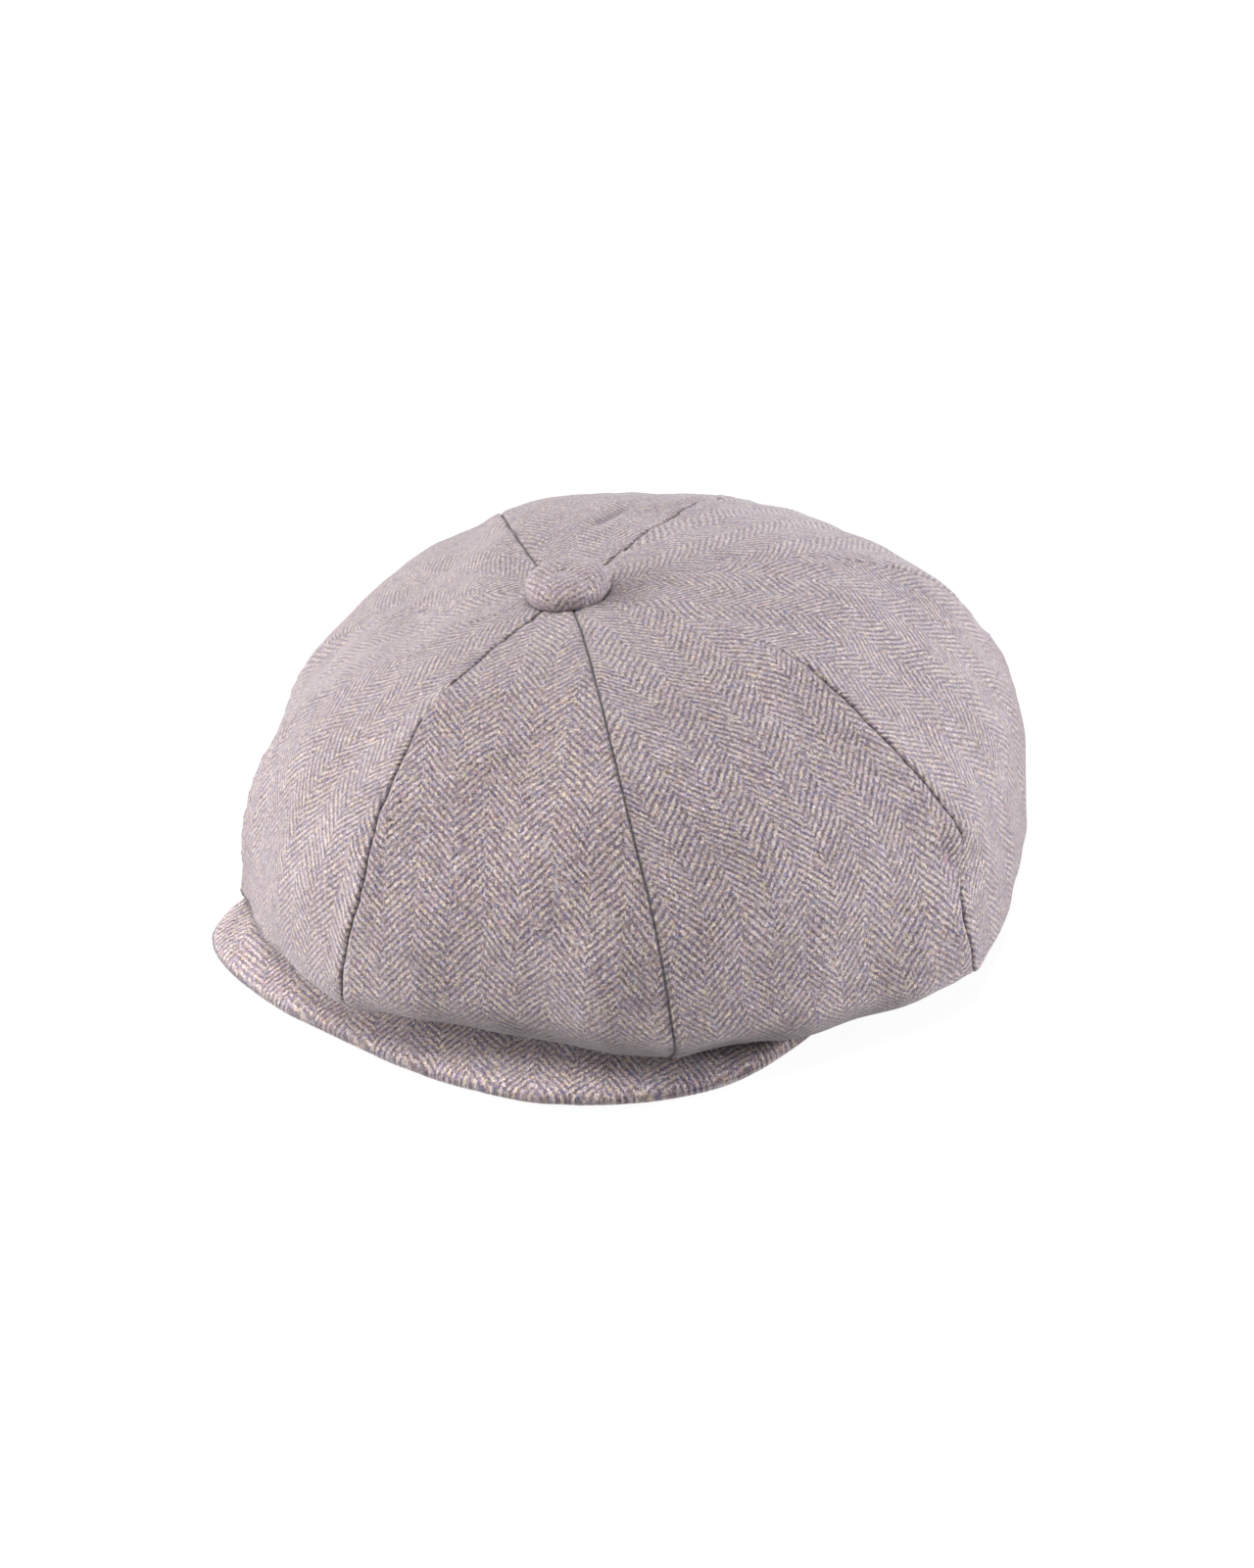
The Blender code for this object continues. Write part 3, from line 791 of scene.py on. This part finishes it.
def make_sweatband():
    angle = np.linspace(0, 2 * math.pi, 300, endpoint=False)[:, None]
    rows = 26
    share = np.arange(rows)[None] / (rows - 1) + 0 * angle
    swell = 0.00012 * np.sin(share * math.pi)
    ease = np.sqrt(np.clip(1 - (np.abs(share - 0.5) * 2) ** 14, 0, 1))
    dimple = 0.00035 * np.sin(angle * 9 + 2 * np.sin(angle * 4)) * share
    layers = []
    for side in (1, -1):
        depth = -BAND_GAP - BAND_LEAN * share + swell + dimple
        depth = depth + side * BAND_HALF_THICKNESS * (0.25 + 0.75 * ease)
        x, y = ellipse(angle, depth)
        z = along_head(y, *BAND_FOOT) + 0.0003 + BAND_HEIGHT * share
        layers.append(np.stack([x, y, z], -1))
    run = lengths(layers[0], 0)
    weave = (run, share * 0.032)
    seam = np.zeros_like(share)
    obj = shell_object("sweatband_ribbon", layers[0], layers[1], weave, seam, BAND, ring=True)
    dress(obj, "crown", ["sweatband"], bends=True)


make_sweatband()


def stitch_mesh(path, normals, width):
    """Sewn stitches: small spindles laid end to end along a path of (start, end) pairs."""
    points = []
    faces = []
    sides = 6
    rings = 5
    for (a, b), out in zip(path, normals):
        along = unit(b - a)
        side = unit(np.cross(along, out))
        start = len(points)
        for i in range(rings):
            s = i / (rings - 1)
            r = width * (0.25 + 0.75 * math.sin(math.pi * (0.08 + 0.84 * s)))
            lift = out * width * 0.9 * math.sin(math.pi * s)
            centre = a + (b - a) * s + lift
            for n in range(sides):
                turn = 2 * math.pi * n / sides
                points.append(centre + side * r * math.cos(turn) + out * r * math.sin(turn))
        for i in range(rings - 1):
            for n in range(sides):
                m = (n + 1) % sides
                p = start + i * sides
                faces.append((p + n, p + m, p + sides + m, p + sides + n))
        faces.append(tuple(start + n for n in range(sides))[::-1])
        faces.append(tuple(start + (rings - 1) * sides + n for n in range(sides)))
    return np.array(points), faces


def make_band_stitches():
    path = []
    normals = []
    for i in range(STITCH_COUNT):
        ends = []
        angles = [2 * math.pi * (i + share) / STITCH_COUNT for share in (0.14, 0.86)]
        for angle in angles:
            x, y = ellipse(angle, -0.0022)
            ends.append(np.array([x, y, along_head(y, *BAND_FOOT) + 0.0032]))
        middle = (angles[0] + angles[1]) / 2
        path.append(ends)
        normals.append(np.array([-math.sin(middle), math.cos(middle), 0.0]))
    points, faces = stitch_mesh(path, normals, STITCH_WIDTH)
    obj = mesh_object("band_stitches", points, faces, {}, THREAD)
    dress(obj, "crown", (), bends=True)


make_band_stitches()

# Peak -----------------------------------------------------------------------------------------------
PEAK_X = -0.0090
PEAK_HALF_WIDTH = 0.1090
PEAK_SIDE_Y = -0.0539
PEAK_REACH = 0.0750
PEAK_SKEW = -0.0251
PEAK_SQUARENESS = 1.8
PEAK_RIM_Z = 0.0059
PEAK_RIM_RISE = 0.050
PEAK_ARCH = 0.100
PEAK_CORNER = 0.032
PEAK_CORNER_SHARE = 0.26
PEAK_SEAM_GAP = 0.0009
PEAK_THICKNESS = 0.0050
PEAK_CLOTH = 0.0012
PEAK_BOW = 0.0012
PEAK_SWELLS = (0.00035, 0.00016, 0.00006)
BOARD_GAP = 0.0002
RIM_STITCHING = (0.00025, 0.0016)
RIM_STITCHING_PLACE = 0.0050
PEAK_SHEET_REACH = 0.985
HORN_ANGLE = math.radians(66)


def peak_seam(share):
    """The peak's edge at the head, with share from -1 at the wearer's right to 1."""
    x, y = ellipse(share * HORN_ANGLE, PEAK_SEAM_GAP)
    z = along_head(y, *HEAD_SEAM_Z) - PEAK_SEAM_GAP
    return np.stack([x, y, z], -1)


def peak_rim(share):
    """The peak's free edge, whose ends curve back in to the head seam."""
    arc = 1 - PEAK_CORNER_SHARE
    side = np.sign(share) + (share == 0)
    turn = side * np.clip(np.abs(share) / arc, 0, 1) * math.pi / 2
    power = 2 / PEAK_SQUARENESS
    x = PEAK_X + side * PEAK_HALF_WIDTH * np.abs(np.sin(turn)) ** power
    reach = PEAK_REACH * np.maximum(np.cos(turn), 0) ** power
    y = PEAK_SIDE_Y - reach + PEAK_SKEW * np.sin(turn) * np.cos(turn)
    z = PEAK_RIM_Z + PEAK_RIM_RISE * (PEAK_REACH - reach) - PEAK_ARCH * (x - PEAK_X) ** 2
    rim = np.stack([x, y, z], -1)
    s = np.clip((np.abs(share) - arc) / PEAK_CORNER_SHARE, 0, 1)[..., None]
    knee = rim + np.array([0, PEAK_CORNER, 0])
    return rim * (1 - s) ** 2 + knee * 2 * s * (1 - s) + peak_seam(side) * s * s


def peak_sheet(share, rows):
    """Grid from the head seam out to the rim, and how far each point is from the rim."""
    v = rows[None, :, None]
    start = peak_seam(share)
    end = peak_rim(share)
    grid = start + (end - start) * v
    from_rim = np.linalg.norm(end - start, axis=-1) * (1 - rows[None])
    return grid, from_rim


def make_peak():
    rows = 1 - (1 - np.linspace(0, 1, 46)) ** 1.6
    share = np.linspace(-PEAK_SHEET_REACH, PEAK_SHEET_REACH, 241)[:, None]
    grid, rim = peak_sheet(share, rows)
    centre = -PEAK_THICKNESS / 2
    radius = PEAK_THICKNESS / 2
    bow = PEAK_BOW * np.sin(rows[None] * math.pi) * (1 - share ** 2)
    soft = sum(height * noise(grid) for height, noise in zip(PEAK_SWELLS, (broad, middling, small)))
    fade = smoothstep(0, 0.25, rows)[None]

    # the last few millimetres turn down to the rim on a quarter circle
    round_off = np.sqrt(np.clip(1 - (1 - np.clip(rim / radius, 0, 1)) ** 2, 0, 1))
    top = grid.copy()
    top[..., 2] += centre + radius * round_off + (bow + soft) * fade
    top[..., 2] += RIM_STITCHING[0] * np.exp(-((rim - RIM_STITCHING_PLACE) / RIM_STITCHING[1]) ** 2)
    under = grid.copy()
    under[..., 2] += centre + (radius - PEAK_CLOTH) * round_off - BOARD_GAP + (bow + soft) * fade
    weave = (grid[..., 0] + 0.004, grid[..., 1])
    lip = np.exp(-(rim / 0.0006) ** 2)
    at_head = np.exp(-(rows[None] * 0.05 / 0.0006) ** 2)
    edges = 0.5 * np.maximum(lip, at_head)
    # Painted shadow of the crown's overhanging edge on the peak, darkest well under the crown.
    phi = np.arctan2(grid[..., 0], -grid[..., 1])
    fold_reach = wave(phi, *REACH) - wave(phi, *TURN_UNDER)
    painted_crown_shadow = 0.85 * smoothstep(-0.003, 0.012, fold_reach - np.hypot(grid[..., 0], grid[..., 1]))
    obj = shell_object("peak_top_cloth", top, under, weave, np.maximum(painted_crown_shadow, edges), PAINTED_LIGHT_PEAK_TWEED)
    dress(obj, "peak", ["peak_top_cover"])

    low = grid.copy()
    low[..., 2] += centre - radius * round_off + (bow * 0.6 + soft) * fade
    low_in = grid.copy()
    low_in[..., 2] += centre - (radius - PEAK_CLOTH) * round_off + BOARD_GAP + bow * 0.6 * fade
    obj = shell_object("peak_bottom_cloth", low_in, low, weave, edges, PAINTED_LIGHT_PEAK_TWEED)
    dress(obj, "peak", ["peak_bottom_cover"])


def paint_node(name, material):
    """Gives a carried-over CAD node its material."""
    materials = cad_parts[name].data.materials
    materials.clear()
    materials.append(material)


make_peak()
paint_node("peak_board", board_material())

# Button ---------------------------------------------------------------------------------------------
BUTTON_RADIUS = 0.0140
BUTTON_HEIGHT = 0.0091
BUTTON_SHOULDER = 0.0042
BUTTON_UP = (-0.075, -0.015, 1.0)


def make_button():
    upright = unit(np.array(BUTTON_UP))
    east = unit(np.cross(np.array([0, 1.0, 0]), upright))
    north = np.cross(upright, east)
    turn = np.linspace(0, 2 * math.pi, 96, endpoint=False)[:, None]
    profile = [(0.0004, BUTTON_HEIGHT)]
    steps = 21
    for step in range(1, steps + 1):
        angle = math.radians(90 - step * 90 / steps)
        rise = (BUTTON_HEIGHT - BUTTON_SHOULDER) * math.sin(angle) ** 0.95
        profile.append((BUTTON_RADIUS * math.cos(angle) ** 0.62, BUTTON_SHOULDER + rise))
    profile += [(BUTTON_RADIUS * 1.002, 0.0022), (BUTTON_RADIUS * 0.985, 0.0013),
                (BUTTON_RADIUS * 0.93, 0.0006), (BUTTON_RADIUS * 0.86, 0.0004), (0.0108, 0.0006)]
    r = np.array([p[0] for p in profile])[None] + 0 * turn
    z = np.array([p[1] for p in profile])[None] + 0 * turn
    low = smoothstep(0.0035, 0.0008, z)
    r = r * (1 + 0.006 * np.sin(turn * 11 + 1) + 0.0035 * np.sin(turn * 5))
    r = r + 0.00035 * np.sin(turn * 37) * low
    z = z + 0.0002 * np.sin(turn * 3 + 0.7) * smoothstep(0.002, 0.006, z)
    seat = np.array(BUTTON_SEAT)

    def place(radius, height):
        flat = east * (radius * np.cos(turn))[..., None] + north * (radius * np.sin(turn))[..., None]
        return seat + flat + upright * height[..., None]

    outer = place(r, z)
    inner = place(np.maximum(r - 0.0009, 0.0002), z - 0.0007 * smoothstep(0.0005, 0.004, z))
    run = lengths(outer, 1)
    weave = (run * np.cos(turn) + 0.0021, run * np.sin(turn))
    # Painted shade at the button's foot, where it sits on the crown.
    seam = 0.60 * smoothstep(0.0028, 0.0008, z)
    obj = shell_object("button_cloth", outer, inner, weave, seam, BUTTON_TWEED, ring=True)
    dress(obj, "crown", ["button_cover"])


make_button()
tin = tin_material()
for node in ("button_shell", "button_back"):
    paint_node(node, tin)


# Floor, light and camera ----------------------------------------------------------------------------
FLOOR_SIZE = 14
FLOOR_GLOW = 0.93
SOFTBOX = (0.9, 0.6)
CAMERA_HEIGHT = 0.048


def floor():
    bpy.ops.mesh.primitive_plane_add(size=FLOOR_SIZE, location=(0, 0, 0))
    plane = bpy.context.object
    plane.name = "studio_floor"
    g = Graph("studio_floor")
    paper = g.noise(g.place(), 3.0, 3.0)
    colour = g.ramp(paper, ((0.3, (0.095, 0.095, 0.095)), (0.7, (0.105, 0.105, 0.105))))
    g.plug(g.shader.inputs["Base Color"], colour)
    g.shader.inputs["Roughness"].default_value = 0.9
    g.shader.inputs["Specular IOR Level"].default_value = 0.0
    g.shader.inputs["Emission Color"].default_value = (1.0, 1.0, 1.0, 1.0)
    g.shader.inputs["Emission Strength"].default_value = FLOOR_GLOW
    plane.data.materials.append(g.material)


def area_light(name, azimuth, elevation, distance, size, power, colour=(1, 1, 1)):
    light = bpy.data.lights.new(name, "AREA")
    light.shape = "RECTANGLE"
    light.size, light.size_y = size
    light.energy = power
    light.color = colour
    obj = bpy.data.objects.new(name, light)
    a = math.radians(azimuth)
    e = math.radians(elevation)
    way = Vector((math.sin(a) * math.cos(e), -math.cos(a) * math.cos(e), math.sin(e)))
    obj.location = way * distance + Vector((0, 0, 0.05))
    obj.rotation_euler = way.to_track_quat("Z", "Y").to_euler()
    bpy.context.scene.collection.objects.link(obj)


def lights():
    world = bpy.data.worlds.new("studio")
    world.use_nodes = True
    world.node_tree.nodes["Background"].inputs[0].default_value = (1.0, 1.0, 1.0, 1.0)
    world.node_tree.nodes["Background"].inputs[1].default_value = 0.02
    bpy.context.scene.world = world
    area_light("soft_left", -90, 25, 1.6, SOFTBOX, 14)
    area_light("soft_left_low", -70, 12, 1.6, SOFTBOX, 23)
    area_light("soft_right", 103, 10, 1.6, SOFTBOX, 34, (0.95, 0.98, 1.02))
    area_light("soft_top", 0, 72, 1.7, (0.9, 0.9), 27)


def camera():
    azimuth = math.radians(12.23)
    elevation = math.radians(32.0)
    roll = math.radians(-4.0)
    distance = 1.2977
    offset = (-0.0162, 0.0088)
    target = Vector((BUTTON_X, BUTTON_Y, CAMERA_HEIGHT))
    back = Vector((math.sin(azimuth) * math.cos(elevation), -math.cos(azimuth) * math.cos(elevation),
                   math.sin(elevation)))
    flat_right = Vector((math.cos(azimuth), math.sin(azimuth), 0))
    flat_up = back.cross(flat_right)
    right = flat_right * math.cos(roll) + flat_up * math.sin(roll)
    up = flat_up * math.cos(roll) - flat_right * math.sin(roll)
    data = bpy.data.cameras.new("camera")
    data.sensor_width = 36
    data.lens = 88.6
    data.clip_start = 0.05
    data.clip_end = 60
    cam = bpy.data.objects.new("camera", data)
    eye = target - right * offset[0] - up * offset[1] + back * distance
    turn = Matrix((right, up, back)).transposed().to_4x4()
    cam.matrix_world = Matrix.Translation(eye) @ turn
    bpy.context.scene.collection.objects.link(cam)
    bpy.context.scene.camera = cam


floor()
lights()
camera()
bpy.context.scene.view_settings.view_transform = "Standard"
